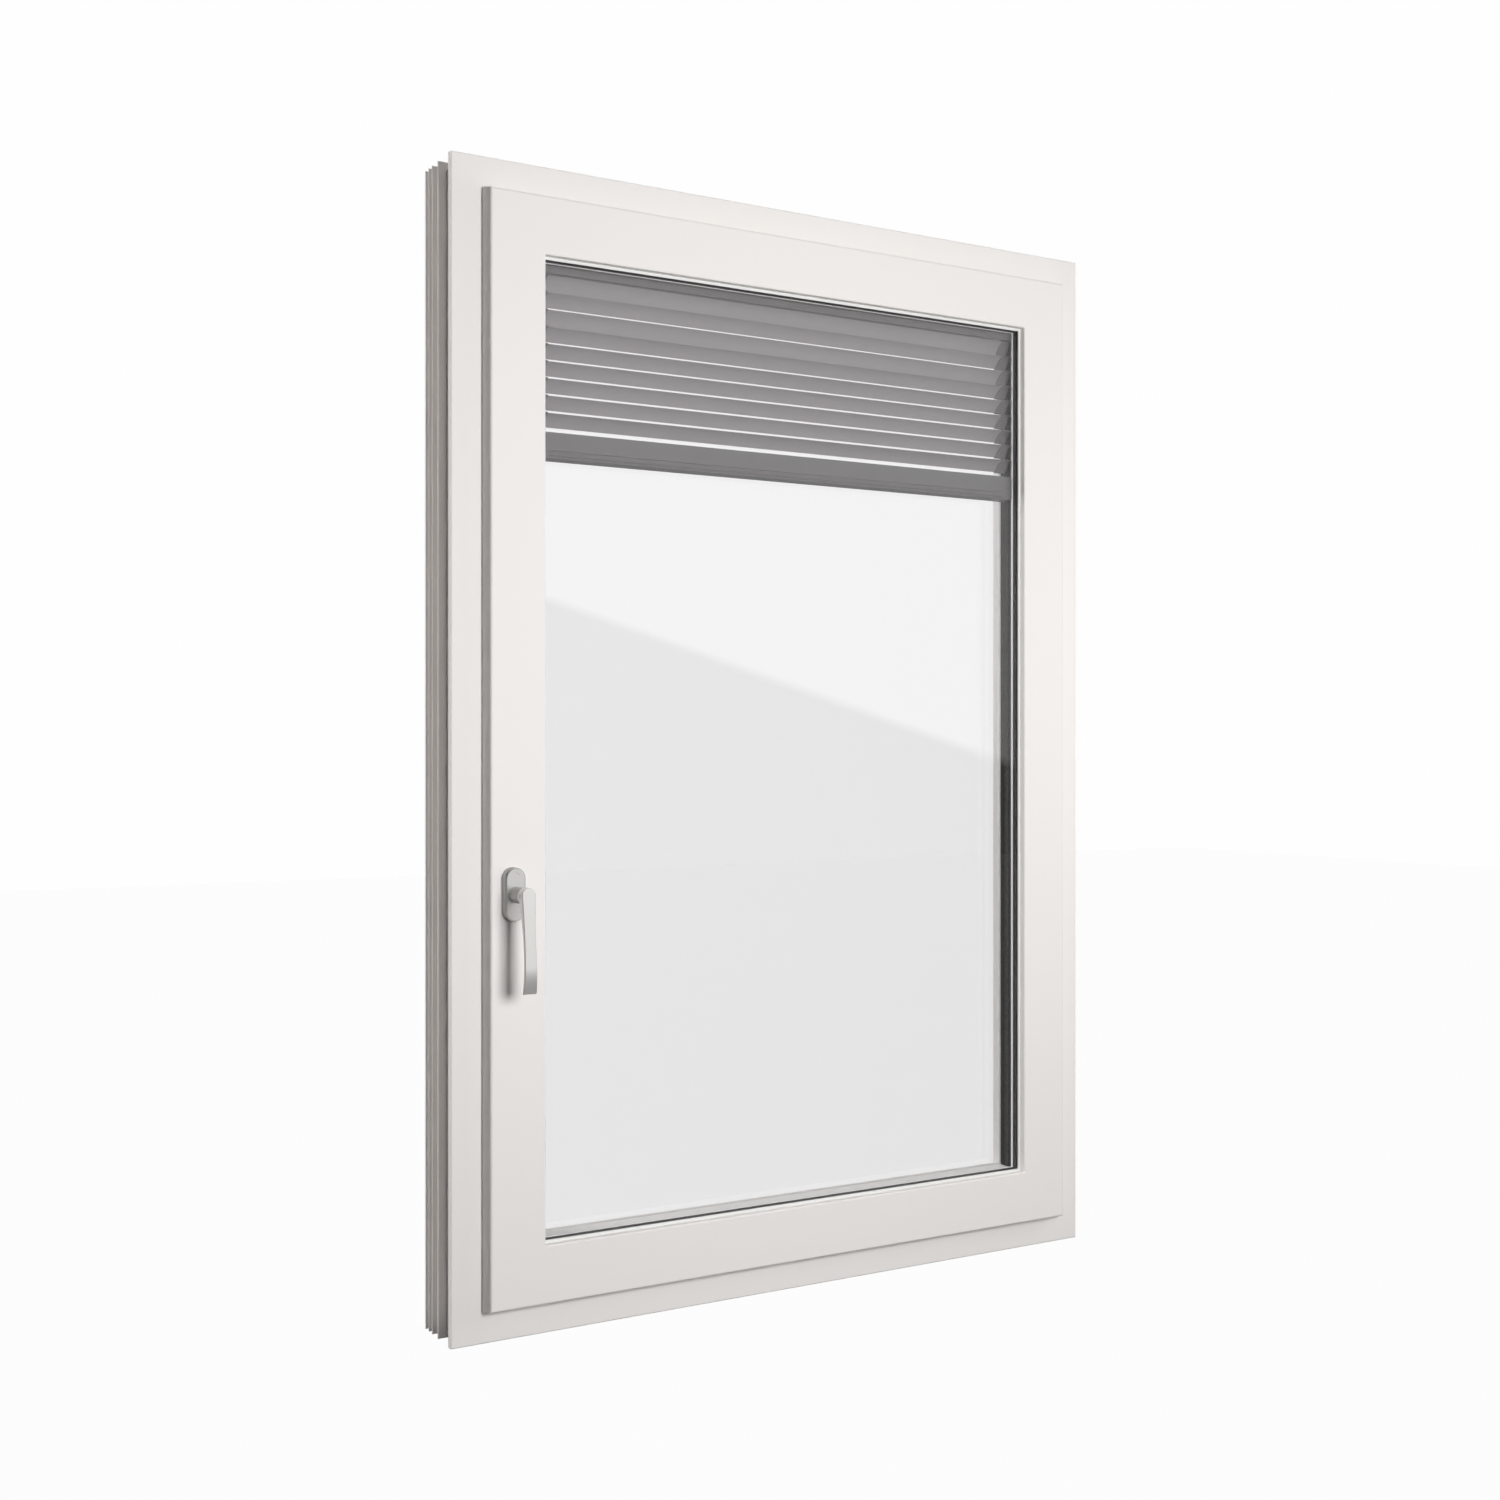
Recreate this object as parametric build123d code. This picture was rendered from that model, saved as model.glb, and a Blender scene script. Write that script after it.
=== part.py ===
from build123d import *
import math
import os

# Window with an integrated blind, in millimetres.
# X runs right as seen from the room, Y from the room to the outside, Z up.
# The origin is on the sill's flat bottom face, at mid-width and mid-flange.
# Sections are drawn in (t, y): t is the distance in from the outer edge of
# the window, y is the row's own Y.

# Overall size
WIDTH = 1000.0
HEIGHT = 1480.0

# Outer frame profile
FLANGE_THICK = 10.0
FLANGE_EDGE_BEVEL = 1.2
FRAME_DEPTH = 93.0
FRAME_WIDTH = 52.0
FRAME_LIP_WIDTH = 72.0
FRAME_LIP_THICK = 26.0
FRAME_LIP_SLOPE = 6.0
RIB_HEIGHT = 11.0
RIB_BACK_THICK = 3.0
RIB_BACK_PITCH = 12.0
RIB_BACK_COUNT = 3
RIB_FRONT_THICK = 3.5
RIB_FRONT_DEPTH = 45.0
RIB_TIP_BEVEL = 0.9

# Sash profile
SASH_MARGIN = 40.0
SASH_FLARE = 3.6
SASH_PROUD = 22.4
SASH_FACE = 73.8
SASH_FLANK_GAP = 10.0
SASH_EDGE_ROUND = 3.0
SASH_INNER_ROUND = 2.5
SASH_LIP_BACK = 3.0
GASKET_INSET = 1.0
SASH_REBATE_WIDTH = 61.4
SASH_WALL = 10.0

# Glazing stack, from the room to the outside
SEAL_THICK = 2.0
SEAL_LIP = 3.5
GLASS_THICK = 4.0
SPACER_DEPTH = 8.0
SPACER_WIDTH = 12.0
EDGE_CLEARANCE = 2.0
LINER_WEB = 3.0
LINER_FLOOR = 7.9
CAVITY_DEPTH = 27.0
OUTER_SEAL = 0.4
BEAD_SLOPE = 9.0
BEAD_EDGE = 4.0

# Guide channels
CHANNEL_WALL = 0.8
CHANNEL_BACK_DROP = 2.4
END_CLEARANCE = 0.3

# Blind
SLAT_CHORD = 24.5
SLAT_CROWN = 2.2
SLAT_THICK = 0.5
SLAT_TILT = 38.0
SLAT_TILT_CLOSED = 46.0
SLATS_CLOSED = (1, 3)
SLAT_PITCH = 22.0
SLAT_COUNT = 9
SLAT_CAP_REACH = 13.0
SLAT_CAP_WALL = 0.8
HEAD_RAIL_HEIGHT = 18.4
HEAD_RAIL_DEPTH = 25.0
HEAD_RAIL_WALL = 1.2
HEAD_RAIL_GROOVE = 0.8
STACK_HEIGHT = 23.2
STACK_GROOVES = 9
STACK_GROOVE = 0.5
BOTTOM_RAIL_HEIGHT = 10.8
BOTTOM_RAIL_GROOVE_DROP = 7.4
BOTTOM_RAIL_GROOVE = 1.2
BOTTOM_RAIL_EDGE = 1.5
STACK_GAP = 8.1
FLOOR_STRIP_DROP = 1.5

# Handle
HANDLE_INSET = 27.7
HANDLE_HEIGHT = 561.0
ROSETTE_WIDTH = 27.0
ROSETTE_LENGTH = 67.0
ROSETTE_THICK = 13.0
ROSETTE_BEVEL = 2.0
ROSETTE_NOTCH_WIDTH = 11.0
ROSETTE_NOTCH_HEIGHT = 5.0
ROSETTE_NOTCH_INSET = 2.8
ROSETTE_NOTCH_DEPTH = 0.8
NECK_DIAMETER = 20.0
NECK_ROUND = 1.5
JOURNAL_DIAMETER = 13.0
JOURNAL_DEPTH = 10.0
RUNNING_CLEARANCE = 0.3
LEVER_LENGTH = 118.0
LEVER_RISE = 11.0
LEVER_TIP_RUN = 32.0
LEVER_TOP_REACH = 53.0
LEVER_BEND_REACH = 61.0
LEVER_TIP_REACH = 58.0
LEVER_TOP_THICK = 11.0
LEVER_SHANK_THICK = 6.5
LEVER_SHANK_DROP = 18.0
LEVER_BEND_THICK = 4.0
LEVER_TIP_THICK = 3.0
LEVER_TOP_WIDTH = 18.0
LEVER_SHANK_WIDTH = 15.0
LEVER_TIP_WIDTH = 17.5
LEVER_EDGE_ROUND = 1.2
LEVER_FRONT_FACING = 0.8
SPINDLE_SIDE = 7.0
SPINDLE_HOLE = 12.0
SPINDLE_DEPTH = 28.0
SPINDLE_HOLE_DEPTH = 32.0

# Planes across the depth, worked out from the sizes above
ROOM_FACE = -FLANGE_THICK / 2
OUTSIDE_FACE = ROOM_FACE + FRAME_DEPTH
FRAME_LIP_FACE = OUTSIDE_FACE - FRAME_LIP_THICK
SASH_FRONT = ROOM_FACE - SASH_PROUD
SASH_LIP = ROOM_FACE - SASH_LIP_BACK
SASH_OUTSIDE = FRAME_LIP_FACE - SASH_LIP_BACK
SEAL_FRONT = SASH_FRONT + SASH_WALL
PANE_INNER = SEAL_FRONT + SEAL_THICK
SPACER_FRONT = PANE_INNER + GLASS_THICK
PANE_MIDDLE = SPACER_FRONT + SPACER_DEPTH
LINER_FRONT = PANE_MIDDLE + GLASS_THICK
CAVITY_FRONT = LINER_FRONT + LINER_WEB
CAVITY_BACK = CAVITY_FRONT + CAVITY_DEPTH
CAVITY_MIDDLE = (CAVITY_FRONT + CAVITY_BACK) / 2
PANE_OUTER = CAVITY_BACK + OUTER_SEAL
BEAD_FRONT = PANE_OUTER + GLASS_THICK

# Distances in from the outer edge of the window
SASH_FACE_START = SASH_MARGIN + SASH_FLARE
OPENING = SASH_FACE_START + SASH_FACE
REBATE = SASH_FACE_START + SASH_REBATE_WIDTH
SASH_FLANK = FRAME_WIDTH + SASH_FLANK_GAP
SIGHT_LINE = OPENING + SEAL_LIP
CAVITY_FLOOR = REBATE + LINER_FLOOR
GLASS_EDGE = REBATE + EDGE_CLEARANCE
CHANNEL_BACK_LIP = SIGHT_LINE - CHANNEL_BACK_DROP
CHANNEL_BASE = CAVITY_FLOOR + CHANNEL_WALL
SLAT_END = SIGHT_LINE + SLAT_CAP_REACH
BLIND_END = CHANNEL_BASE + END_CLEARANCE

# Handle
HANDLE_X = -WIDTH / 2 + SASH_FACE_START + HANDLE_INSET
LEVER_BEND_DROP = LEVER_LENGTH - LEVER_TIP_RUN


def save(name, shape):
    """Write one node to parts, named after the piece."""
    shape.label = name
    export_step(shape, f"parts/{name}.step")


def mitred_bar(section, length):
    """A bar along X over the section, cut at 45 degrees at both ends.

    The section is a face in the XY plane with t as X and y as Y. The bar
    lies along the bottom of the window, with t running up.
    """
    along_x = Plane(origin=(-length / 2, 0, 0), x_dir=(0, 0, 1), z_dir=(1, 0, 0))
    # With t up and the extrusion along X, the section's y runs towards -Y,
    # so the section is mirrored before it is placed.
    bar = extrude(along_x * mirror(section, Plane.XZ), amount=length)
    left = Plane(origin=(-length / 2, 0, 0), z_dir=(1, 0, -1))
    right = Plane(origin=(length / 2, 0, 0), z_dir=(-1, 0, -1))
    bar = split(bar, bisect_by=left, keep=Keep.TOP)
    return split(bar, bisect_by=right, keep=Keep.TOP)


def four_bars(section):
    """The bottom, top, left and right bars of one mitred profile."""
    centre = Axis((0, 0, HEIGHT / 2), (0, 1, 0))
    across = mitred_bar(section, WIDTH)
    upright = mitred_bar(section, HEIGHT)
    upright = Pos(0, 0, (HEIGHT - WIDTH) / 2) * upright
    return {
        "bottom": across,
        "top": across.rotate(centre, 180),
        "left": upright.rotate(centre, 90),
        "right": upright.rotate(centre, -90),
    }


def ring(t_near, t_far, y_near, y_far):
    """A rectangular ring round the window between two distances in from its edge."""
    plane = Plane(origin=(0, y_near, HEIGHT / 2), x_dir=(1, 0, 0), z_dir=(0, 1, 0))
    outer = Rectangle(WIDTH - 2 * t_near, HEIGHT - 2 * t_near)
    inner = Rectangle(WIDTH - 2 * t_far, HEIGHT - 2 * t_far)
    return extrude(plane * (outer - inner), amount=y_far - y_near)


def closed_face(points):
    """A face inside a closed outline of straight runs."""
    return make_face(Polyline(*points, close=True))


def rounded(face, corner, radius):
    """The face with the vertex nearest to a corner rounded."""
    nearest = min(face.vertices(), key=lambda v: (Vector(v) - Vector(*corner, 0)).length)
    return fillet(nearest, radius)


def rib_outline(back, thick):
    """One rib with a bevelled tip, from its back face round to its front face."""
    front = back - thick
    return [
        (RIB_HEIGHT, back),
        (RIB_TIP_BEVEL, back),
        (0, back - RIB_TIP_BEVEL),
        (0, front + RIB_TIP_BEVEL),
        (RIB_TIP_BEVEL, front),
        (RIB_HEIGHT, front),
    ]


def frame_section():
    """The ribbed profile of the outer frame."""
    points = [
        (0, ROOM_FACE + FLANGE_EDGE_BEVEL),
        (FLANGE_EDGE_BEVEL, ROOM_FACE),
        (FRAME_WIDTH, ROOM_FACE),
        (FRAME_WIDTH, FRAME_LIP_FACE),
        (FRAME_LIP_WIDTH, FRAME_LIP_FACE),
        (FRAME_LIP_WIDTH - FRAME_LIP_SLOPE, OUTSIDE_FACE),
    ]
    # The first rib's back is the frame's outside face, so its foot is left out
    for number in range(RIB_BACK_COUNT):
        rib = rib_outline(OUTSIDE_FACE - number * RIB_BACK_PITCH, RIB_BACK_THICK)
        points += rib if number else rib[1:]
    points += rib_outline(ROOM_FACE + RIB_FRONT_DEPTH + RIB_FRONT_THICK, RIB_FRONT_THICK)
    flange_back = ROOM_FACE + FLANGE_THICK
    points += [(RIB_HEIGHT, flange_back), (0, flange_back)]
    return closed_face(points)


def sash_section():
    """The sash profile: flared overlap at its edge, glazing rebate at its inside."""
    face = closed_face([
        (SASH_FACE_START, SASH_FRONT),
        (OPENING, SASH_FRONT),
        (OPENING, SEAL_FRONT),
        (REBATE, SEAL_FRONT),
        (REBATE, SASH_OUTSIDE),
        (SASH_FLANK, SASH_OUTSIDE),
        (SASH_FLANK, SASH_LIP),
        (SASH_MARGIN, SASH_LIP),
    ])
    face = rounded(face, (SASH_FACE_START, SASH_FRONT), SASH_EDGE_ROUND)
    return rounded(face, (OPENING, SASH_FRONT), SASH_INNER_ROUND)


def liner_section():
    """The cavity liner: a web behind the middle pane and a floor under the blind."""
    return closed_face([
        (REBATE, LINER_FRONT),
        (SIGHT_LINE, LINER_FRONT),
        (SIGHT_LINE, CAVITY_FRONT),
        (CAVITY_FLOOR, CAVITY_FRONT),
        (CAVITY_FLOOR, CAVITY_BACK),
        (REBATE, CAVITY_BACK),
    ])


def bead_section():
    """The glazing bead outside the outer pane, sloped to shed rain."""
    return closed_face([
        (REBATE, BEAD_FRONT),
        (SIGHT_LINE - OUTER_SEAL, BEAD_FRONT),
        (SIGHT_LINE - OUTER_SEAL, BEAD_FRONT + BEAD_EDGE),
        (SIGHT_LINE - BEAD_SLOPE, SASH_OUTSIDE),
        (REBATE, SASH_OUTSIDE),
    ])


def make_frame():
    """The four bars of the outer frame."""
    bars = four_bars(frame_section())
    save("frame_sill", bars["bottom"])
    save("frame_head", bars["top"])
    save("frame_jamb_left", bars["left"])
    save("frame_jamb_right", bars["right"])


def make_sash():
    """The four bars of the sash, the left one bored for the handle's spindle."""
    bars = four_bars(sash_section())
    hole_plane = Plane(origin=(HANDLE_X, SASH_FRONT, HANDLE_HEIGHT), z_dir=(0, 1, 0))
    hole = extrude(hole_plane * Circle(SPINDLE_HOLE / 2), amount=SPINDLE_HOLE_DEPTH)
    save("sash_bottom_rail", bars["bottom"])
    save("sash_top_rail", bars["top"])
    save("sash_stile_left", bars["left"] - hole)
    save("sash_stile_right", bars["right"])


def make_gaskets():
    """The two seals of the overlap and the seal in front of the inner pane."""
    overlap = ring(SASH_MARGIN + SASH_FLARE, FRAME_WIDTH - GASKET_INSET, SASH_LIP, ROOM_FACE)
    save("overlap_gasket_room", overlap)
    rain = ring(SASH_FLANK + GASKET_INSET, FRAME_LIP_WIDTH - GASKET_INSET, SASH_OUTSIDE, FRAME_LIP_FACE)
    save("overlap_gasket_outside", rain)
    save("pane_seal", ring(REBATE, SIGHT_LINE, SEAL_FRONT, PANE_INNER))


def pane(front):
    """One sheet of glass with its room face at a depth."""
    plane = Plane(origin=(0, front, HEIGHT / 2), x_dir=(1, 0, 0), z_dir=(0, 1, 0))
    sheet = Rectangle(WIDTH - 2 * GLASS_EDGE, HEIGHT - 2 * GLASS_EDGE)
    return extrude(plane * sheet, amount=GLASS_THICK)


def make_glazing():
    """The three panes with the parts that hold them apart and close the cavity."""
    save("pane_inner", pane(PANE_INNER))
    save("pane_middle", pane(PANE_MIDDLE))
    save("pane_outer", pane(PANE_OUTER))
    spacer_start = SIGHT_LINE - SPACER_WIDTH
    save("pane_spacer", ring(spacer_start, SIGHT_LINE, SPACER_FRONT, PANE_MIDDLE))
    for side, bar in four_bars(liner_section()).items():
        save(f"cavity_liner_{side}", bar)
    for side, bar in four_bars(bead_section()).items():
        save(f"outer_bead_{side}", bar)


def make_guide_channels():
    """Upright channels that hold the ends of the slats."""
    outside = closed_face([
        (CAVITY_FLOOR, CAVITY_FRONT),
        (SIGHT_LINE, CAVITY_FRONT),
        (SIGHT_LINE, CAVITY_FRONT + CHANNEL_WALL),
        (CHANNEL_BASE, CAVITY_FRONT + CHANNEL_WALL),
        (CHANNEL_BASE, CAVITY_BACK - CHANNEL_WALL),
        (CHANNEL_BACK_LIP, CAVITY_BACK - CHANNEL_WALL),
        (CHANNEL_BACK_LIP, CAVITY_BACK),
        (CAVITY_FLOOR, CAVITY_BACK),
    ])
    height = HEIGHT - 2 * CAVITY_FLOOR
    left = Pos(-WIDTH / 2, 0, CAVITY_FLOOR) * extrude(outside, amount=height)
    save("guide_channel_left", left)
    save("guide_channel_right", mirror(left, Plane.YZ))


def slat_section(wall):
    """A crowned strip from its room edge along +Y, convex side up, with a wall added all round."""
    near, far = -wall, SLAT_CHORD + wall
    low, high = -wall, SLAT_THICK + wall
    middle = SLAT_CHORD / 2
    upper = ThreePointArc((near, high), (middle, SLAT_CROWN + high), (far, high))
    lower = ThreePointArc((near, low), (middle, SLAT_CROWN + low), (far, low))
    ends = [Line((near, low), (near, high)), Line((far, low), (far, high))]
    return make_face([upper, lower] + ends)


def along_window(section, end):
    """Extrude a (y, z) section between two points at a distance in from the window's edges."""
    return extrude(Plane.YZ * section, amount=WIDTH / 2 - end, both=True)


def end_caps(section):
    """The guide caps on both ends of one blind piece, left and right."""
    start = Plane(origin=(WIDTH / 2 - SLAT_END, 0, 0), x_dir=(0, 1, 0), z_dir=(1, 0, 0))
    right = extrude(start * section, amount=SLAT_END - BLIND_END)
    return mirror(right, Plane.YZ), right


def make_blind():
    """The head rail, the slats, the lowered stack and the bottom rail, with their end caps."""
    ceiling = HEIGHT - CAVITY_FLOOR
    rail_bottom = ceiling - HEAD_RAIL_HEIGHT
    rail_centre = ceiling - HEAD_RAIL_HEIGHT / 2
    rail_box = Rectangle(HEAD_RAIL_DEPTH, HEAD_RAIL_HEIGHT)
    inner_box = Rectangle(HEAD_RAIL_DEPTH - 2 * HEAD_RAIL_WALL, HEAD_RAIL_HEIGHT - 2 * HEAD_RAIL_WALL)
    rail = Pos(CAVITY_MIDDLE, rail_centre) * (rail_box - inner_box)
    groove = Pos(CAVITY_MIDDLE - HEAD_RAIL_DEPTH / 2, rail_centre) * Circle(HEAD_RAIL_GROOVE)
    save("blind_head_rail", along_window(rail - groove, BLIND_END))

    room_edge = CAVITY_MIDDLE - SLAT_CHORD / 2 * math.cos(math.radians(SLAT_TILT))
    first = rail_bottom - END_CLEARANCE - 2 * SLAT_CAP_WALL - SLAT_THICK
    caps = []
    for number in range(SLAT_COUNT):
        tilt = SLAT_TILT_CLOSED if number + 1 in SLATS_CLOSED else SLAT_TILT
        place = Pos(room_edge, first - number * SLAT_PITCH) * Rot(0, 0, -tilt)
        slat = along_window(place * slat_section(0), SLAT_END)
        save(f"blind_slat_{number + 1:02d}", slat)
        caps.append(end_caps(place * slat_section(SLAT_CAP_WALL)))

    reach = (SLAT_CHORD + SLAT_CAP_WALL) * math.sin(math.radians(SLAT_TILT)) + SLAT_CAP_WALL
    stack_top = first - (SLAT_COUNT - 1) * SLAT_PITCH - reach - STACK_GAP
    rail_top = stack_top - STACK_HEIGHT
    stack = stack_section(stack_top)
    weight = bottom_rail_section(rail_top)
    save("slat_stack", along_window(stack, SLAT_END))
    save("blind_bottom_rail", along_window(weight, SLAT_END))
    caps.append(end_caps(block_section(stack_top, STACK_HEIGHT + BOTTOM_RAIL_HEIGHT)))
    save("slat_caps_left", Compound(children=[left for left, right in caps]))
    save("slat_caps_right", Compound(children=[right for left, right in caps]))


def block_section(top, height):
    """A plain block as deep as the slats are wide, with its top at a height."""
    return Pos(CAVITY_MIDDLE, top - height / 2) * Rectangle(SLAT_CHORD, height)


def grooved(block, levels, groove):
    """The block with grooves along its room and outside faces, one pair at each height."""
    for level in levels:
        for side in (-1, 1):
            block -= Pos(CAVITY_MIDDLE + side * SLAT_CHORD / 2, level) * groove
    return block


def stack_section(top):
    """The slats that are let down no further, lying flat on the bottom rail."""
    groove = Rectangle(2 * STACK_GROOVE, STACK_GROOVE)
    spacing = STACK_HEIGHT / (STACK_GROOVES + 1)
    levels = [top - number * spacing for number in range(1, STACK_GROOVES + 1)]
    return grooved(block_section(top, STACK_HEIGHT), levels, groove)


def bottom_rail_section(top):
    """The grooved rail that weighs the blind down."""
    block = Pos(CAVITY_MIDDLE, top - BOTTOM_RAIL_HEIGHT / 2) * RectangleRounded(
        SLAT_CHORD, BOTTOM_RAIL_HEIGHT, BOTTOM_RAIL_EDGE)
    return grooved(block, [top - BOTTOM_RAIL_GROOVE_DROP], Circle(BOTTOM_RAIL_GROOVE))


def make_floor_strip():
    """The strip that closes the cavity floor between the guide channels."""
    top = SIGHT_LINE - FLOOR_STRIP_DROP
    strip = Pos(CAVITY_MIDDLE, (CAVITY_FLOOR + top) / 2) * Rectangle(
        CAVITY_DEPTH - 2 * END_CLEARANCE, top - CAVITY_FLOOR)
    save("cavity_floor_strip", along_window(strip, SIGHT_LINE + END_CLEARANCE))


def handle_plane(reach):
    """A plane in front of the sash face, looking towards the room."""
    return Plane(
        origin=(HANDLE_X, SASH_FRONT - reach, HANDLE_HEIGHT), x_dir=(1, 0, 0), z_dir=(0, -1, 0))


def make_rosette():
    """The handle's plate: a bevelled slot with a bore and a small pointer notch."""
    outline = SlotOverall(ROSETTE_LENGTH, ROSETTE_WIDTH, rotation=90)
    body = extrude(handle_plane(0) * outline, amount=ROSETTE_THICK)
    front = body.faces().sort_by(Axis.Y)[0]
    body = chamfer(front.edges(), ROSETTE_BEVEL)
    bore = Circle(JOURNAL_DIAMETER / 2 + RUNNING_CLEARANCE)
    body -= extrude(handle_plane(0) * bore, amount=ROSETTE_THICK)
    apex = ROSETTE_LENGTH / 2 - ROSETTE_BEVEL - ROSETTE_NOTCH_INSET
    base = apex - ROSETTE_NOTCH_HEIGHT
    half = ROSETTE_NOTCH_WIDTH / 2
    notch = closed_face([(-half, base), (half, base), (0, apex)])
    body -= extrude(handle_plane(ROSETTE_THICK) * notch, amount=-ROSETTE_NOTCH_DEPTH)
    save("handle_rosette", body)


def lever_outline():
    """The lever from the front: domed over the axis, waisted, wider at the tip."""
    radius = LEVER_TOP_WIDTH / 2
    right = Spline(
        (radius, 0), (LEVER_SHANK_WIDTH / 2, -LEVER_LENGTH / 2), (LEVER_TIP_WIDTH / 2, -LEVER_LENGTH))
    left = mirror(right, Plane.YZ)
    tip = Line((-LEVER_TIP_WIDTH / 2, -LEVER_LENGTH), (LEVER_TIP_WIDTH / 2, -LEVER_LENGTH))
    top = ThreePointArc((-radius, 0), (0, LEVER_RISE), (radius, 0))
    return make_face([right, tip, left, top])


def lever_side():
    """The lever from its side, in (reach, height): a straight front that curves in at the tip."""
    above = 2 * LEVER_RISE
    straight = Line((LEVER_TOP_REACH, above), (LEVER_BEND_REACH, -LEVER_BEND_DROP))
    curve = TangentArc(straight @ 1, (LEVER_TIP_REACH, -LEVER_LENGTH), tangent=straight % 1)
    back = Spline(
        (LEVER_TIP_REACH - LEVER_TIP_THICK, -LEVER_LENGTH),
        (LEVER_BEND_REACH - LEVER_BEND_THICK, -LEVER_BEND_DROP),
        (LEVER_TOP_REACH - LEVER_SHANK_THICK, -LEVER_SHANK_DROP),
        (LEVER_TOP_REACH - LEVER_TOP_THICK, 0))
    rise = Line(back @ 1, (LEVER_TOP_REACH - LEVER_TOP_THICK, above))
    tip = Line(curve @ 1, back @ 0)
    top = Line(rise @ 1, straight @ 0)
    return make_face([straight, curve, tip, back, rise, top])


def room_rim(blade):
    """The edges round the blade's front, which is the faces that look mostly to the room."""
    fronts = [face for face in blade.faces() if -face.normal_at().Y > LEVER_FRONT_FACING]
    edges = [edge for face in fronts for edge in face.edges()]
    return [edge for edge in edges if sum(edge.is_same(other) for other in edges) == 1]


def make_lever():
    """The blade, the round neck behind it and the journal that turns in the rosette."""
    front = extrude(handle_plane(0) * lever_outline(), amount=LEVER_BEND_REACH + LEVER_TOP_THICK)
    side_plane = Plane(
        origin=(HANDLE_X, SASH_FRONT, HANDLE_HEIGHT), x_dir=(0, -1, 0), z_dir=(-1, 0, 0))
    side = extrude(side_plane * lever_side(), amount=LEVER_TOP_WIDTH, both=True)
    blade = front & side
    blade = fillet(room_rim(blade), LEVER_EDGE_ROUND)
    neck_start = ROSETTE_THICK + RUNNING_CLEARANCE
    neck_length = LEVER_TOP_REACH - LEVER_TOP_THICK / 2 - neck_start
    neck = extrude(handle_plane(neck_start) * Circle(NECK_DIAMETER / 2), amount=neck_length)
    neck = fillet(neck.edges().sort_by(Axis.Y)[0], NECK_ROUND)
    journal = extrude(
        handle_plane(neck_start) * Circle(JOURNAL_DIAMETER / 2), amount=-JOURNAL_DEPTH)
    save("handle_lever", blade + neck + journal)


def make_spindle():
    """The square bar that turns the gear inside the sash."""
    square = Rectangle(SPINDLE_SIDE, SPINDLE_SIDE)
    root = ROSETTE_THICK + RUNNING_CLEARANCE - JOURNAL_DEPTH
    spindle = extrude(handle_plane(root) * square, amount=-SPINDLE_DEPTH)
    save("handle_spindle", spindle)


def main():
    os.makedirs("parts", exist_ok=True)
    make_frame()
    make_sash()
    make_gaskets()
    make_glazing()
    make_guide_channels()
    make_floor_strip()
    make_blind()
    make_rosette()
    make_lever()
    make_spindle()


main()
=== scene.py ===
import math

import bpy
from mathutils import Matrix, Vector


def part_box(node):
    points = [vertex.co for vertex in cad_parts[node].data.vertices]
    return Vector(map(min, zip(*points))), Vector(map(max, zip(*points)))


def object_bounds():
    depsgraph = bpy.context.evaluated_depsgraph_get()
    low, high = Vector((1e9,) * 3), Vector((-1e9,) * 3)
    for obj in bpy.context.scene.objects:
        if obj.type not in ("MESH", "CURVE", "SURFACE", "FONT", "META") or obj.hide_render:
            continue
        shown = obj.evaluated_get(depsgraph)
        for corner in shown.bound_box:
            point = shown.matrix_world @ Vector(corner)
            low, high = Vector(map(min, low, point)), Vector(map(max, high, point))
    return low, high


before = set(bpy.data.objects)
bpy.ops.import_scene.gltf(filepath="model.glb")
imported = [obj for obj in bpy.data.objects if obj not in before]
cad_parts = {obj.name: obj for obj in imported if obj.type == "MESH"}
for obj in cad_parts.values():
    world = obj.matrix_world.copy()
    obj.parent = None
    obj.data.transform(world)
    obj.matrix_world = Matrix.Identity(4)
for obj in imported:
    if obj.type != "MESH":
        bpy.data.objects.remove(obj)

bl_info = {
    "name": "Window with integrated blind",
    "version": (1, 0, 0),
    "blender": (4, 5, 0),
    "location": "View3D > Sidebar > Window",
    "description": "Finishes of a white window whose blind hangs between its panes, and its studio",
    "category": "Object",
}

CAD_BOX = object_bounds()

SIDES = ("bottom", "top", "left", "right")
FRAME_BARS = ("frame_sill", "frame_head", "frame_jamb_left", "frame_jamb_right")
SASH_BARS = ("sash_bottom_rail", "sash_top_rail", "sash_stile_left", "sash_stile_right")
LINERS = tuple(f"cavity_liner_{side}" for side in SIDES) + ("cavity_floor_strip",)
OUTER_BEADS = tuple(f"outer_bead_{side}" for side in SIDES)
GASKETS = ("overlap_gasket_room", "overlap_gasket_outside")
PANES = ("pane_inner", "pane_middle", "pane_outer")
CHANNELS = ("guide_channel_left", "guide_channel_right")
SLATS = tuple(sorted(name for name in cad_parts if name.startswith("blind_slat_")))
SLAT_CAPS = ("slat_caps_left", "slat_caps_right")
RAILS = ("blind_head_rail", "blind_bottom_rail")
HANDLE_PARTS = ("handle_rosette", "handle_lever", "handle_spindle")

# Moulded grain of a plain surface; the two scales are in cells per metre, and the
# skin's depth is in metres
ROUGHNESS = 0.3
PATCH_SCALE = 4.0
PATCH_DETAIL = 3.0
TINT = 0.02
GLOSS_SPREAD = 0.05
SKIN_SCALE = 900.0
SKIN_DETAIL = 2.0
SKIN_DEPTH = 0.00001
EVEN = (1.0, 1.0, 1.0)
NOISE_MIDDLE = 0.5

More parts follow.
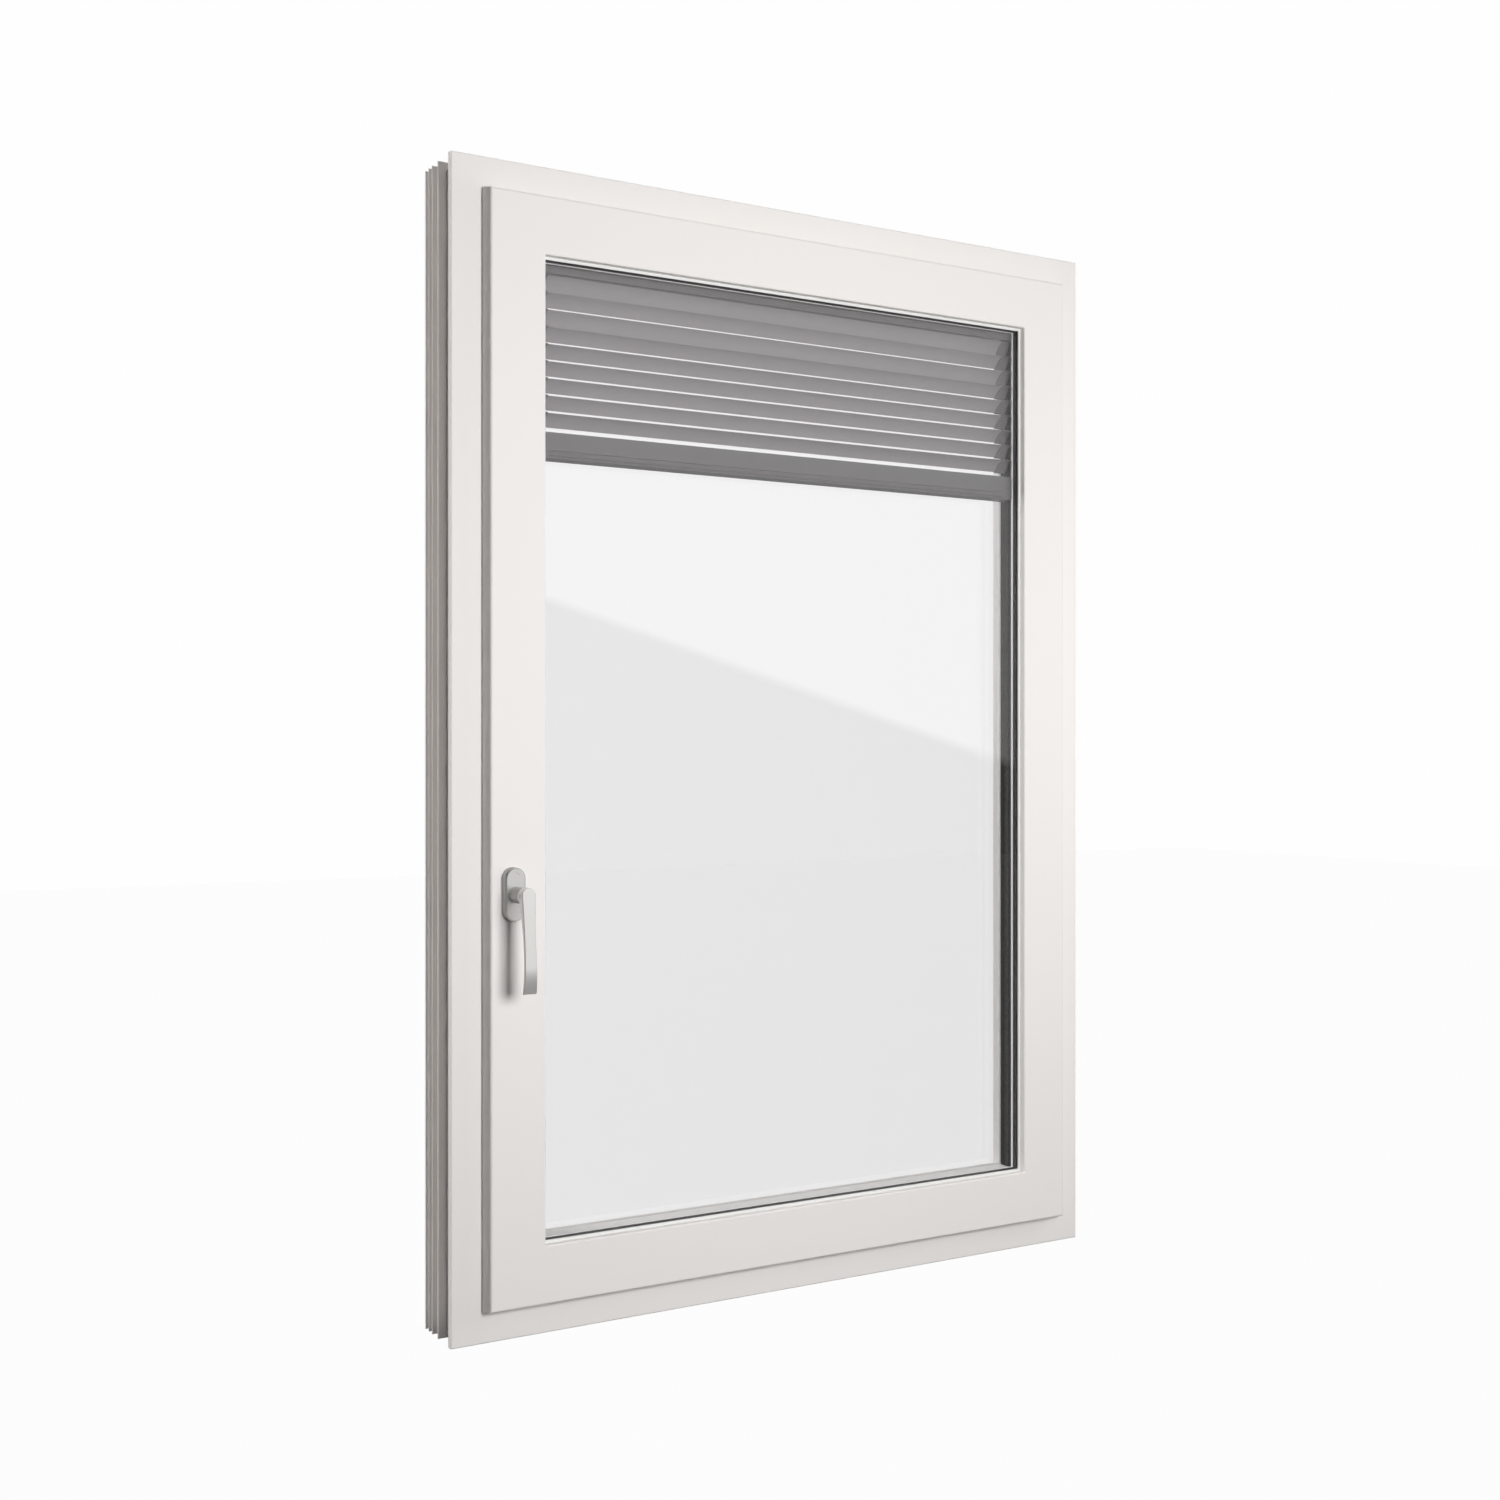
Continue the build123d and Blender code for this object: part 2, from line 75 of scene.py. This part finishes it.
PLASTIC_SPECULAR = 0.35
CHANNEL_METALLIC = 0.4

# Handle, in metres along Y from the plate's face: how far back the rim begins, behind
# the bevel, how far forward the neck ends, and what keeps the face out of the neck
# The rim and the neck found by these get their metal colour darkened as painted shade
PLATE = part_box("handle_rosette")
PLATE_FACE = PLATE[0][1]
PLATE_BEVEL = 0.002
NECK_REACH = 0.0286
FACE_MARGIN = 0.0001

# Glass: how it bends light, its tint's lowest share and patches in cells per metre,
# and the share of a lamp's light that each face of a pane lets through
GLASS_IOR = 1.5
GLASS_TINT_LOW = 0.998
GLASS_PATCH_SCALE = 3.0
GLASS_LAMP_SHARE = 0.92

# Card that the panes mirror: it fills every direction above a plane. The plane's
# normal, half the softness of the edge, and the brightness above and below it
CARD_NORMAL = (0.26868, 0.20534, 0.94108)
CARD_SOFTNESS = 0.003
CARD_BRIGHT = 0.66
CARD_DIM = 0.14

# Wall that satin metal mirrors: the way to its middle, the cosine from which it is
# fully bright, and the brightness of the room beside and behind it
WALL_TOWARDS = (0.5, -0.866, 0.0)
WALL_FULL = 0.7
WALL_DIM = 0.1

# Floor: its colour and roughness, and its shares of the background's brightness, as
# seen plainly and as satin metal mirrors it. In the panes it is as dim as CARD_DIM
FLOOR_GREY = 0.1
FLOOR_ROUGHNESS = 0.9
FLOOR_SEEN = 0.985
FLOOR_IN_METAL = 0.35

# Light Path depths are whole numbers, so this tells none from one or more
NO_BOUNCE = 0.5

SENSOR_WIDTH = 36.0
LEVEL = math.radians(90.0)

# Each lamp's name, place and size in metres; its power is the studio's NAME_power
LAMPS = (
    ("key", (-0.25, -2.3, 0.95), 0.7),
    ("top", (1.0, -2.0, 2.5), 1.6),
    ("over", (0.0, 0.7, 3.4), 1.2),
    ("fill", (1.8, -1.0, 0.95), 1.0),
    ("side", (-3.0, 1.75, 1.2), 1.2),
    ("rear", (1.0, 2.8, 1.4), 1.2),
)


class WindowFinish(bpy.types.PropertyGroup):
    """Colours and surface values of the window's materials."""

    profile: bpy.props.FloatVectorProperty(
        name="Profile white", description="Colour of the frame and sash profiles",
        subtype="COLOR", size=3, min=0.0, max=1.0, default=(0.875, 0.842, 0.817))
    liner: bpy.props.FloatVectorProperty(
        name="Liner white", description="Colour of the linings and beads round the panes",
        subtype="COLOR", size=3, min=0.0, max=1.0, default=(0.95, 0.935, 0.92))
    profile_roughness: bpy.props.FloatProperty(
        name="Profile roughness", description="Roughness of all white plastic",
        subtype="FACTOR", min=0.0, max=1.0, default=0.34)
    gasket: bpy.props.FloatVectorProperty(
        name="Gasket", description="Colour of the seals between sash and frame",
        subtype="COLOR", size=3, min=0.0, max=1.0, default=(0.1, 0.1, 0.1))
    pane_seal: bpy.props.FloatVectorProperty(
        name="Pane seal", description="Colour of the lip that holds the room-side pane",
        subtype="COLOR", size=3, min=0.0, max=1.0, default=(0.8, 0.8, 0.79))
    spacer: bpy.props.FloatVectorProperty(
        name="Spacer", description="Colour of the spacer between the panes",
        subtype="COLOR", size=3, min=0.0, max=1.0, default=(0.02, 0.02, 0.022))
    glass: bpy.props.FloatVectorProperty(
        name="Glass", description="Tint of the panes",
        subtype="COLOR", size=3, min=0.0, max=1.0, default=(1.0, 0.997, 0.999))
    channel: bpy.props.FloatVectorProperty(
        name="Guide channel", description="Colour of the channels that guide the slats",
        subtype="COLOR", size=3, min=0.0, max=1.0, default=(0.044, 0.043, 0.044))
    slat: bpy.props.FloatVectorProperty(
        name="Slat enamel", description="Colour of the blind's slats",
        subtype="COLOR", size=3, min=0.0, max=1.0, default=(0.338, 0.322, 0.328))
    # Partly painted shade: the caps are real pieces, but their dark colour stands in for the shade
    # the channel's reveal casts on the slats' ends
    cap: bpy.props.FloatVectorProperty(
        name="Slat caps and painted shade", description="Colour of the caps on the ends of the slats",
        subtype="COLOR", size=3, min=0.0, max=1.0, default=(0.17, 0.165, 0.166))
    # Painted shade: the stack is the same slats as the blind, given a darker copy of their colour
    # for the shade between its packed edges
    stack: bpy.props.FloatVectorProperty(
        name="Stack enamel and painted shade", description="Colour of the edges of the lowered slats",
        subtype="COLOR", size=3, min=0.0, max=1.0, default=(0.168, 0.162, 0.165))
    # Partly painted shade: the rails' own grey enamel, darkened further for the shade from the sash
    # head above them
    rail: bpy.props.FloatVectorProperty(
        name="Rail enamel and painted shade", description="Colour of the blind's head and bottom rails",
        subtype="COLOR", size=3, min=0.0, max=1.0, default=(0.14, 0.132, 0.135))
    handle: bpy.props.FloatVectorProperty(
        name="Handle metal", description="Colour of the satin metal of the handle",
        subtype="COLOR", size=3, min=0.0, max=1.0, default=(0.74, 0.73, 0.712))
    # Painted shade: the plate's rim and the neck are darkened to this share of the metal's colour
    handle_painted_shade: bpy.props.FloatProperty(
        name="Painted shade on metal", description="Share of the colour on the plate's rim and the neck",
        subtype="FACTOR", min=0.0, max=1.0, default=0.48)


class WindowStudio(bpy.types.PropertyGroup):
    """Camera, floor, surroundings and lamps."""

    camera_place: bpy.props.FloatVectorProperty(
        name="Camera place", description="Where the camera stands",
        subtype="TRANSLATION", unit="LENGTH", size=3, default=(-1.278, -2.072, 0.740))
    camera_turn: bpy.props.FloatProperty(
        name="Camera turn", description="Turn of the level camera from straight on",
        subtype="ANGLE", unit="ROTATION", default=math.radians(-30.24))
    camera_lens: bpy.props.FloatProperty(
        name="Camera lens", description="Focal length on a 36 mm wide sensor, in millimetres",
        min=10.0, max=200.0, default=42.36)
    floor_drop: bpy.props.FloatProperty(
        name="Floor drop", description="Height from the floor to the window's sill",
        subtype="DISTANCE", unit="LENGTH", min=0.0, default=0.9)
    floor_reach: bpy.props.FloatProperty(
        name="Floor reach", description="Half the width of the floor",
        subtype="DISTANCE", unit="LENGTH", min=2.0, default=20.0)
    background: bpy.props.FloatProperty(
        name="Background", description="Brightness of the plain background",
        min=0.0, max=1.0, default=0.991)
    ambient: bpy.props.FloatProperty(
        name="Ambient", description="Brightness of the soft light from all round",
        min=0.0, max=2.0, default=0.04)
    metal_surround: bpy.props.FloatProperty(
        name="Metal surround", description="Brightness of the studio wall that satin metal mirrors",
        min=0.0, max=2.0, default=1.3)
    key_power: bpy.props.FloatProperty(
        name="Key power", description="Power of the lamp in front of the window",
        subtype="POWER", unit="POWER", min=0.0, default=46.0)
    top_power: bpy.props.FloatProperty(
        name="Top power", description="Power of the wide lamp above and in front of the window",
        subtype="POWER", unit="POWER", min=0.0, default=5.0)
    over_power: bpy.props.FloatProperty(
        name="Over power", description="Power of the lamp above the window, a little behind it",
        subtype="POWER", unit="POWER", min=0.0, default=26.0)
    fill_power: bpy.props.FloatProperty(
        name="Fill power", description="Power of the weak lamp to the window's right",
        subtype="POWER", unit="POWER", min=0.0, default=9.0)
    side_power: bpy.props.FloatProperty(
        name="Side power", description="Power of the lamp behind the window, to the left",
        subtype="POWER", unit="POWER", min=0.0, default=80.0)
    rear_power: bpy.props.FloatProperty(
        name="Rear power", description="Power of the lamp behind the window, to the right",
        subtype="POWER", unit="POWER", min=0.0, default=42.0)


def group_socket(group, name, kind, direction, default=None):
    """Add one named socket to a node group."""
    socket = group.interface.new_socket(name=name, in_out=direction, socket_type=kind)
    if default is not None:
        socket.default_value = default


def link(tree, source, target):
    """Join an output socket to an input socket."""
    tree.links.new(source, target)


def active(sockets, name):
    """The socket in use of that name, on a node whose type shows only some."""
    return next(socket for socket in sockets if socket.enabled and socket.name == name)


def math_node(tree, operation, first, second):
    """A math node fed by sockets or plain numbers; returns its output."""
    node = tree.nodes.new("ShaderNodeMath")
    node.operation = operation
    for slot, value in enumerate((first, second)):
        if isinstance(value, (int, float)):
            node.inputs[slot].default_value = value
        else:
            link(tree, value, node.inputs[slot])
    return node.outputs[0]


def scaled(tree, colour, factor):
    """A colour socket times a value socket; returns the output."""
    node = tree.nodes.new("ShaderNodeVectorMath")
    node.operation = "SCALE"
    link(tree, colour, node.inputs[0])
    link(tree, factor, node.inputs["Scale"])
    return node.outputs[0]


def along(tree, direction):
    """The cosine between the ray and a direction in the room."""
    place = tree.nodes.new("ShaderNodeTexCoord")
    node = tree.nodes.new("ShaderNodeVectorMath")
    node.operation = "DOT_PRODUCT"
    node.inputs[1].default_value = direction
    link(tree, place.outputs["Generated"], node.inputs[0])
    return node.outputs["Value"]


def spread(tree, value, source, target):
    """Map a value from one range, held at its ends, to another; returns the output."""
    node = tree.nodes.new("ShaderNodeMapRange")
    node.inputs["From Min"].default_value = source[0]
    node.inputs["From Max"].default_value = source[1]
    node.inputs["To Min"].default_value = target[0]
    node.inputs["To Max"].default_value = target[1]
    link(tree, value, node.inputs["Value"])
    return node.outputs["Result"]


def mirror_paths(tree):
    """Light Path outputs, where no pane has turned the ray back, and where one has.

    A ray that an inner pane turns back leaves the glass as a transmission ray, so
    the reflections it has been through tell it from one that went straight through.
    """
    path = tree.nodes.new("ShaderNodeLightPath").outputs
    straight = math_node(tree, "LESS_THAN", path["Glossy Depth"], NO_BOUNCE)
    turned = math_node(tree, "SUBTRACT", 1.0, straight)
    from_pane = math_node(tree, "MULTIPLY", path["Is Singular Ray"], turned)
    return path, straight, from_pane


def moulded_grain_group():
    """Uneven tint, gloss and skin of moulded plastic, enamel or metal."""
    group = bpy.data.node_groups.new("moulded_grain", "ShaderNodeTree")
    group_socket(group, "Color", "NodeSocketColor", "INPUT", (0.8, 0.8, 0.8, 1.0))
    group_socket(group, "Patch Scale", "NodeSocketFloat", "INPUT", PATCH_SCALE)
    group_socket(group, "Tint", "NodeSocketFloat", "INPUT", TINT)
    group_socket(group, "Roughness", "NodeSocketFloat", "INPUT", ROUGHNESS)
    group_socket(group, "Spread", "NodeSocketFloat", "INPUT", GLOSS_SPREAD)
    group_socket(group, "Skin Scale", "NodeSocketFloat", "INPUT", SKIN_SCALE)
    group_socket(group, "Stretch", "NodeSocketVector", "INPUT", EVEN)
    group_socket(group, "Color", "NodeSocketColor", "OUTPUT")
    group_socket(group, "Roughness", "NodeSocketFloat", "OUTPUT")
    group_socket(group, "Height", "NodeSocketFloat", "OUTPUT")
    nodes = group.nodes
    given = nodes.new("NodeGroupInput")
    out = nodes.new("NodeGroupOutput")
    place = nodes.new("ShaderNodeTexCoord")
    stretched = nodes.new("ShaderNodeVectorMath")
    stretched.operation = "MULTIPLY"
    link(group, place.outputs["Object"], stretched.inputs[0])
    link(group, given.outputs["Stretch"], stretched.inputs[1])

    patches = nodes.new("ShaderNodeTexNoise")
    patches.inputs["Detail"].default_value = PATCH_DETAIL
    link(group, stretched.outputs[0], patches.inputs["Vector"])
    link(group, given.outputs["Patch Scale"], patches.inputs["Scale"])
    swing = math_node(group, "SUBTRACT", patches.outputs["Fac"], NOISE_MIDDLE)
    tint = math_node(group, "MULTIPLY", swing, given.outputs["Tint"])
    level = math_node(group, "ADD", tint, 1.0)
    link(group, scaled(group, given.outputs["Color"], level), out.inputs["Color"])

    gloss = math_node(group, "MULTIPLY", swing, given.outputs["Spread"])
    rough = math_node(group, "ADD", gloss, given.outputs["Roughness"])
    link(group, rough, out.inputs["Roughness"])

    skin = nodes.new("ShaderNodeTexNoise")
    skin.inputs["Detail"].default_value = SKIN_DETAIL
    link(group, stretched.outputs[0], skin.inputs["Vector"])
    link(group, given.outputs["Skin Scale"], skin.inputs["Scale"])
    link(group, skin.outputs["Fac"], out.inputs["Height"])
    return group


def material(name):
    """A new material, its node tree and its Principled BSDF."""
    made = bpy.data.materials.new(name)
    made.use_nodes = True
    return made, made.node_tree, made.node_tree.nodes["Principled BSDF"]


def grained_material(name, colour, roughness, patch_scale=PATCH_SCALE, tint=TINT,
                     gloss_spread=GLOSS_SPREAD, skin_scale=SKIN_SCALE,
                     skin_depth=SKIN_DEPTH, stretch=EVEN):
    """A material whose colour, gloss and skin come from the moulded grain group."""
    made, tree, shader = material(name)
    group = bpy.data.node_groups.get("moulded_grain") or moulded_grain_group()
    grain = tree.nodes.new("ShaderNodeGroup")
    grain.node_tree = group
    grain.inputs["Color"].default_value = (*colour, 1.0)
    grain.inputs["Patch Scale"].default_value = patch_scale
    grain.inputs["Tint"].default_value = tint
    grain.inputs["Roughness"].default_value = roughness
    grain.inputs["Spread"].default_value = gloss_spread
    grain.inputs["Skin Scale"].default_value = skin_scale
    grain.inputs["Stretch"].default_value = stretch
    link(tree, grain.outputs["Color"], shader.inputs["Base Color"])
    link(tree, grain.outputs["Roughness"], shader.inputs["Roughness"])
    bump = tree.nodes.new("ShaderNodeBump")
    bump.inputs["Distance"].default_value = skin_depth
    link(tree, grain.outputs["Height"], bump.inputs["Height"])
    link(tree, bump.outputs["Normal"], shader.inputs["Normal"])
    return made, tree, shader


def plastic_material(name, colour, roughness):
    """Satin white plastic."""
    made, _, shader = grained_material(name, colour, roughness, patch_scale=3.0, tint=0.012)
    shader.inputs["Specular IOR Level"].default_value = PLASTIC_SPECULAR
    return made


def gasket_material(finish):
    """Dull grey rubber."""
    return grained_material(
        "gasket_rubber", finish.gasket, roughness=0.6, patch_scale=60.0, tint=0.2,
        skin_depth=0.00004)[0]


def pane_seal_material(finish):
    """Soft pale lip."""
    return grained_material(
        "pane_seal", finish.pane_seal, roughness=0.5, patch_scale=20.0, tint=0.03)[0]


def spacer_material(finish):
    """Black plastic with a fine skin."""
    return grained_material(
        "spacer_black", finish.spacer, roughness=0.5, patch_scale=80.0, tint=0.3,
        skin_scale=1500.0)[0]


def channel_material(finish):
    """Dark anodised metal, drawn along Z."""
    made, _, shader = grained_material(
        "channel_anodised", finish.channel, roughness=0.42, patch_scale=40.0, tint=0.1,
        stretch=(1.0, 1.0, 0.02))
    shader.inputs["Metallic"].default_value = CHANNEL_METALLIC
    return made


def enamel_material(name, colour):
    """Satin enamel on metal, rolled along X."""
    return grained_material(
        name, colour, roughness=0.36, patch_scale=30.0, tint=0.05,
        stretch=(0.04, 1.0, 1.0), skin_depth=0.00002)[0]


def handle_material(finish):
    """Satin metal, darkened on the plate's rim and the lever's neck as painted shade."""
    made, tree, shader = grained_material(
        "handle_satin", finish.handle, roughness=0.37, patch_scale=700.0, tint=0.04,
        gloss_spread=0.08, skin_scale=2500.0, skin_depth=0.000004,
        stretch=(1.0, 1.0, 0.06))
    shader.inputs["Metallic"].default_value = 1.0
    place = tree.nodes.new("ShaderNodeTexCoord")
    parts = tree.nodes.new("ShaderNodeSeparateXYZ")
    link(tree, place.outputs["Object"], parts.inputs[0])
    depth = parts.outputs["Y"]
    # Painted shade: the rim behind the plate's bevel and the neck are darkened in colour
    rim = math_node(tree, "GREATER_THAN", depth, PLATE_FACE + PLATE_BEVEL)
    past_face = math_node(tree, "LESS_THAN", depth, PLATE_FACE - FACE_MARGIN)
    before_lever = math_node(tree, "GREATER_THAN", depth, PLATE_FACE - NECK_REACH)
    neck = math_node(tree, "MULTIPLY", past_face, before_lever)
    painted_shade_mask = math_node(tree, "MAXIMUM", rim, neck)
    share = spread(tree, painted_shade_mask, (0.0, 1.0), (1.0, finish.handle_painted_shade))
    metal = shader.inputs["Base Color"].links[0].from_socket
    link(tree, scaled(tree, metal, share), shader.inputs["Base Color"])
    return made


def glass_material(finish):
    """Clear float glass that lets lamp light through to the blind."""
    made, tree, shader = material("clear_glass")
    place = tree.nodes.new("ShaderNodeTexCoord")
    waves = tree.nodes.new("ShaderNodeTexNoise")
    waves.inputs["Scale"].default_value = GLASS_PATCH_SCALE
    link(tree, place.outputs["Object"], waves.inputs["Vector"])
    tint = tree.nodes.new("ShaderNodeMix")
    tint.data_type = "RGBA"
    low = [part * GLASS_TINT_LOW for part in finish.glass]
    active(tint.inputs, "A").default_value = (*finish.glass, 1.0)
    active(tint.inputs, "B").default_value = (*low, 1.0)
    link(tree, waves.outputs["Fac"], active(tint.inputs, "Factor"))
    link(tree, active(tint.outputs, "Result"), shader.inputs["Base Color"])
    shader.inputs["Roughness"].default_value = 0.0
    shader.inputs["IOR"].default_value = GLASS_IOR
    shader.inputs["Transmission Weight"].default_value = 1.0
    path = tree.nodes.new("ShaderNodeLightPath")
    passed = math_node(tree, "MULTIPLY", path.outputs["Is Shadow Ray"], GLASS_LAMP_SHARE)
    kept = math_node(tree, "SUBTRACT", 1.0, passed)
    link(tree, kept, shader.inputs["Alpha"])
    return made


def dress(names, finish):
    """Give CAD nodes one material."""
    for name in names:
        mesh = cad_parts[name].data
        mesh.materials.clear()
        mesh.materials.append(finish)


class DressFrame(bpy.types.Operator):
    """Finish the outer frame, the sash and the linings in white plastic"""

    bl_idname = "blind_window.dress_frame"
    bl_label = "Frame and sash"

    def execute(self, context):
        finish = context.scene.window_finish
        rough = finish.profile_roughness
        dress(FRAME_BARS + SASH_BARS, plastic_material("profile_white", finish.profile, rough))
        dress(LINERS + OUTER_BEADS, plastic_material("liner_white", finish.liner, rough))
        return {"FINISHED"}


class DressSeals(bpy.types.Operator):
    """Finish the gaskets, the pane seal and the spacer"""

    bl_idname = "blind_window.dress_seals"
    bl_label = "Seals"

    def execute(self, context):
        finish = context.scene.window_finish
        dress(GASKETS, gasket_material(finish))
        dress(("pane_seal",), pane_seal_material(finish))
        dress(("pane_spacer",), spacer_material(finish))
        return {"FINISHED"}


class DressGlass(bpy.types.Operator):
    """Make the three panes clear glass"""

    bl_idname = "blind_window.dress_glass"
    bl_label = "Panes"

    def execute(self, context):
        dress(PANES, glass_material(context.scene.window_finish))
        return {"FINISHED"}


class DressBlind(bpy.types.Operator):
    """Finish the slats, the rails and the guide channels"""

    bl_idname = "blind_window.dress_blind"
    bl_label = "Blind"

    def execute(self, context):
        finish = context.scene.window_finish
        dress(SLATS, enamel_material("slat_enamel", finish.slat))
        # The stack's darker colour is painted shade
        dress(("slat_stack",), enamel_material("stack_enamel", finish.stack))
        # The rails' colour is their enamel darkened further as painted shade
        dress(RAILS, enamel_material("rail_enamel", finish.rail))
        # The caps' dark colour is painted shade on the slats' ends
        dress(SLAT_CAPS, enamel_material("cap_plastic", finish.cap))
        dress(CHANNELS, channel_material(finish))
        return {"FINISHED"}


class DressHandle(bpy.types.Operator):
    """Finish the handle in satin metal, with painted shade on the plate's rim and the neck"""

    bl_idname = "blind_window.dress_handle"
    bl_label = "Handle"

    def execute(self, context):
        dress(HANDLE_PARTS, handle_material(context.scene.window_finish))
        return {"FINISHED"}


def studio_world(studio):
    """White to the camera and through glass, a card to the panes and a wall to satin metal."""
    world = bpy.data.worlds.new("studio")
    bpy.context.scene.world = world
    world.use_nodes = True
    tree = world.node_tree
    tree.nodes.clear()
    out = tree.nodes.new("ShaderNodeOutputWorld")
    background = tree.nodes.new("ShaderNodeBackground")
    background.inputs["Color"].default_value = (1.0, 1.0, 1.0, 1.0)
    link(tree, background.outputs[0], out.inputs["Surface"])

    card = spread(tree, along(tree, CARD_NORMAL),
                  (-CARD_SOFTNESS, CARD_SOFTNESS), (CARD_DIM, CARD_BRIGHT))
    wall = spread(tree, along(tree, WALL_TOWARDS),
                  (0.0, WALL_FULL), (WALL_DIM, studio.metal_surround))
    path, straight, from_pane = mirror_paths(tree)
    mirrored = tree.nodes.new("ShaderNodeMix")
    link(tree, from_pane, mirrored.inputs["Factor"])
    link(tree, wall, mirrored.inputs["A"])
    link(tree, card, mirrored.inputs["B"])
    glossy = tree.nodes.new("ShaderNodeMix")
    glossy.inputs["A"].default_value = studio.ambient
    shiny = math_node(tree, "MAXIMUM", path["Is Glossy Ray"], from_pane)
    link(tree, shiny, glossy.inputs["Factor"])
    link(tree, mirrored.outputs["Result"], glossy.inputs["B"])

    clear = math_node(tree, "LESS_THAN", path["Diffuse Depth"], NO_BOUNCE)
    unturned = math_node(tree, "MULTIPLY", clear, straight)
    through = math_node(tree, "MULTIPLY", path["Is Transmission Ray"], unturned)
    seen = math_node(tree, "MAXIMUM", path["Is Camera Ray"], through)
    strength = tree.nodes.new("ShaderNodeMix")
    strength.inputs["B"].default_value = studio.background
    link(tree, seen, strength.inputs["Factor"])
    link(tree, glossy.outputs["Result"], strength.inputs["A"])
    link(tree, strength.outputs["Result"], background.inputs["Strength"])


def add_lamp(name, place, size, power, target):
    """A square soft lamp that faces a point; the world gives glossy surfaces what they mirror."""
    data = bpy.data.lights.new(name, "AREA")
    data.shape = "SQUARE"
    data.size = size
    data.energy = power
    lamp = bpy.data.objects.new(name, data)
    lamp.location = place
    aim = Vector(target) - Vector(place)
    lamp.rotation_euler = aim.to_track_quat("-Z", "Y").to_euler()
    lamp.visible_camera = False
    lamp.visible_transmission = False
    lamp.visible_glossy = False
    bpy.context.scene.collection.objects.link(lamp)


def floor_material(studio):
    """Pale floor, nearly as bright as the background, that lamps light only a little."""
    made, tree, shader = material("floor_pale")
    shader.inputs["Base Color"].default_value = (FLOOR_GREY, FLOOR_GREY, FLOOR_GREY, 1.0)
    shader.inputs["Roughness"].default_value = FLOOR_ROUGHNESS
    glow = tree.nodes.new("ShaderNodeEmission")
    glow.inputs["Strength"].default_value = studio.background
    path, straight, from_pane = mirror_paths(tree)
    seen = math_node(tree, "MAXIMUM", path["Is Camera Ray"], path["Is Transmission Ray"])
    plain = math_node(tree, "MULTIPLY", seen, straight)
    satin = math_node(tree, "SUBTRACT", path["Is Glossy Ray"], path["Is Singular Ray"])
    share = math_node(tree, "MULTIPLY", plain, FLOOR_SEEN)
    for rays, brightness in ((from_pane, CARD_DIM), (satin, FLOOR_IN_METAL)):
        share = math_node(
            tree, "MAXIMUM", share, math_node(tree, "MULTIPLY", rays, brightness))
    mix = tree.nodes.new("ShaderNodeMixShader")
    link(tree, share, mix.inputs["Fac"])
    link(tree, shader.outputs[0], mix.inputs[1])
    link(tree, glow.outputs[0], mix.inputs[2])
    link(tree, mix.outputs[0], tree.nodes["Material Output"].inputs["Surface"])
    return made


class BuildStage(bpy.types.Operator):
    """Set the camera, the lamps, the background and the floor"""

    bl_idname = "blind_window.build_stage"
    bl_label = "Stage"

    def execute(self, context):
        studio = context.scene.window_studio
        data = bpy.data.cameras.new("camera")
        data.sensor_width = SENSOR_WIDTH
        data.lens = studio.camera_lens
        camera = bpy.data.objects.new("camera", data)
        camera.location = studio.camera_place
        camera.rotation_euler = (LEVEL, 0.0, studio.camera_turn)
        context.scene.collection.objects.link(camera)
        context.scene.camera = camera

        bpy.ops.mesh.primitive_plane_add(size=2.0 * studio.floor_reach)
        floor = context.object
        floor.name = "floor"
        floor.data.transform(Matrix.Translation((0.0, 0.0, -studio.floor_drop)))
        floor.data.materials.append(floor_material(studio))

        middle = (CAD_BOX[0] + CAD_BOX[1]) / 2
        for name, place, size in LAMPS:
            add_lamp(name, place, size, getattr(studio, f"{name}_power"), middle)
        studio_world(studio)
        context.scene.view_settings.view_transform = "Standard"
        return {"FINISHED"}


class WindowPanel(bpy.types.Panel):
    """The window's finishes, its studio and the steps that apply them"""

    bl_idname = "VIEW3D_PT_blind_window"
    bl_label = "Window with blind"
    bl_space_type = "VIEW_3D"
    bl_region_type = "UI"
    bl_category = "Window"

    def draw(self, context):
        layout = self.layout
        for group in (context.scene.window_finish, context.scene.window_studio):
            box = layout.box()
            for name in group.__annotations__:
                box.prop(group, name)
        for step in STEPS:
            layout.operator(step.bl_idname)


STEPS = (DressFrame, DressSeals, DressGlass, DressBlind, DressHandle, BuildStage)
CLASSES = (WindowFinish, WindowStudio) + STEPS + (WindowPanel,)


def register():
    for item in CLASSES:
        bpy.utils.register_class(item)
    bpy.types.Scene.window_finish = bpy.props.PointerProperty(type=WindowFinish)
    bpy.types.Scene.window_studio = bpy.props.PointerProperty(type=WindowStudio)


def unregister():
    del bpy.types.Scene.window_studio
    del bpy.types.Scene.window_finish
    for item in reversed(CLASSES):
        bpy.utils.unregister_class(item)


def main():
    register()
    for step in STEPS:
        area, name = step.bl_idname.split(".")
        getattr(getattr(bpy.ops, area), name)()


if __name__ == "__main__":
    main()
